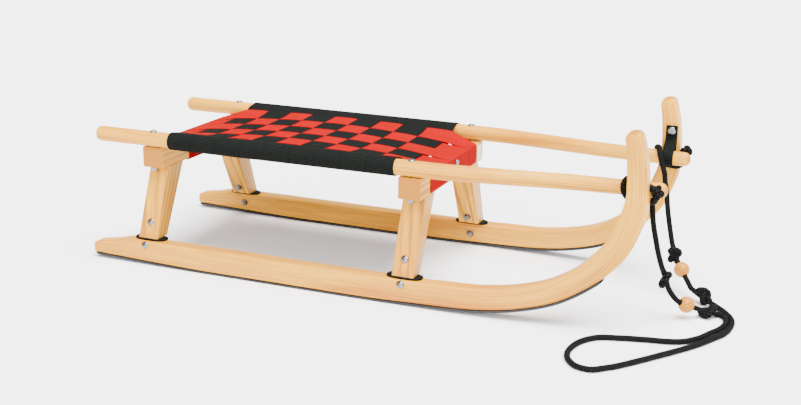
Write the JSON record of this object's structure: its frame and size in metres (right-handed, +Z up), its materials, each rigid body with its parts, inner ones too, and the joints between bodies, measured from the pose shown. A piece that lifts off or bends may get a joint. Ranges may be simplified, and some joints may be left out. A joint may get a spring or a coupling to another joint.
{
  "type": "wooden horn sled",
  "caption": "Bentwood horn sled with tilting steel-shod runners on rubber bearings, a woven webbing seat and a braided pull rope with wooden beads.",
  "frame": {"origin": "on the ground, under the middle of the sled's length and width", "axes": "+X forward along the sled, +Y to its left, +Z up"},
  "size_m": [1.1765, 0.5464, 0.3348],
  "materials": {
    "ash": "clear oiled",
    "beech": "clear oiled",
    "dark_steel": "dark rolled",
    "zinc": "bright zinc plated",
    "rubber": "matt",
    "red_webbing": "ribbed webbing",
    "black_webbing": "ribbed webbing",
    "rope": "braided",
    "tag_cloth": "woven"
  },
  "bodies": {
    "frame": {"rail_left": "ash", "rail_right": "ash", "crossbeam_front": "ash", "crossbeam_rear": "ash", "leg_front_left": "ash", "leg_front_right": "ash", "leg_rear_left": "ash", "leg_rear_right": "ash", "bearing_front_left": "rubber", "bearing_front_right": "rubber", "bearing_rear_left": "rubber", "bearing_rear_right": "rubber", "leg_bolt_front_left": "zinc", "leg_bolt_front_right": "zinc", "leg_bolt_rear_left": "zinc", "leg_bolt_rear_right": "zinc", "rail_bolt_front_left": "zinc", "rail_bolt_front_right": "zinc", "rail_bolt_rear_left": "zinc", "rail_bolt_rear_right": "zinc", "seat_band_1": "black_webbing", "seat_band_2": "black_webbing", "seat_band_3": "black_webbing", "seat_band_4": "black_webbing", "seat_band_5": "black_webbing", "seat_band_6": "black_webbing", "seat_band_7": "black_webbing", "seat_band_8": "black_webbing", "seat_band_9": "black_webbing", "seat_strap_1": "red_webbing", "seat_strap_2": "red_webbing", "seat_strap_3": "red_webbing", "seat_strap_4": "red_webbing", "seat_strap_5": "red_webbing", "strap_screw": "zinc", "seat_tag": "tag_cloth", "keeper_left": "black_webbing", "keeper_right": "black_webbing", "rope_hitch_left": "rope", "rope_hitch_right": "rope", "rope_upper_left": "rope", "rope_upper_right": "rope", "rope_middle_left": "rope", "rope_middle_right": "rope", "rope_bight": "rope"},
    "runner_left": {"runner_left": "ash", "runner_steel_left": "dark_steel", "runner_bolt_front_left": "zinc", "runner_bolt_rear_left": "zinc", "keeper_screw_left": "zinc"},
    "runner_right": {"runner_right": "ash", "runner_steel_right": "dark_steel", "runner_bolt_front_right": "zinc", "runner_bolt_rear_right": "zinc", "keeper_screw_right": "zinc"},
    "bead_left": {"bead_left": "beech"},
    "bead_right": {"bead_right": "beech"}
  },
  "joints": [
    {"name": "runner_left_tilt", "type": "hinge", "parent": "frame", "child": "runner_left", "pos_m": [0, 0.178, 0.0468], "axis": [1, 0, 0], "range_deg": [-3, 0.8], "stiffness_Nm_per_rad": 150, "deforming": ["bearing_front_left", "bearing_rear_left", "keeper_left"]},
    {"name": "runner_right_tilt", "type": "hinge", "parent": "frame", "child": "runner_right", "pos_m": [0, -0.178, 0.0468], "axis": [1, 0, 0], "range_deg": [-0.8, 3], "stiffness_Nm_per_rad": 150, "deforming": ["bearing_front_right", "bearing_rear_right", "keeper_right"]},
    {"name": "bead_left_slide", "type": "slide", "parent": "frame", "child": "bead_left", "axis": [0.5602, -0.4234, -0.712], "range_m": [0, 0.018]},
    {"name": "bead_right_slide", "type": "slide", "parent": "frame", "child": "bead_right", "axis": [0.7958, 0.476, -0.3743], "range_m": [0, 0.013]}
  ]
}
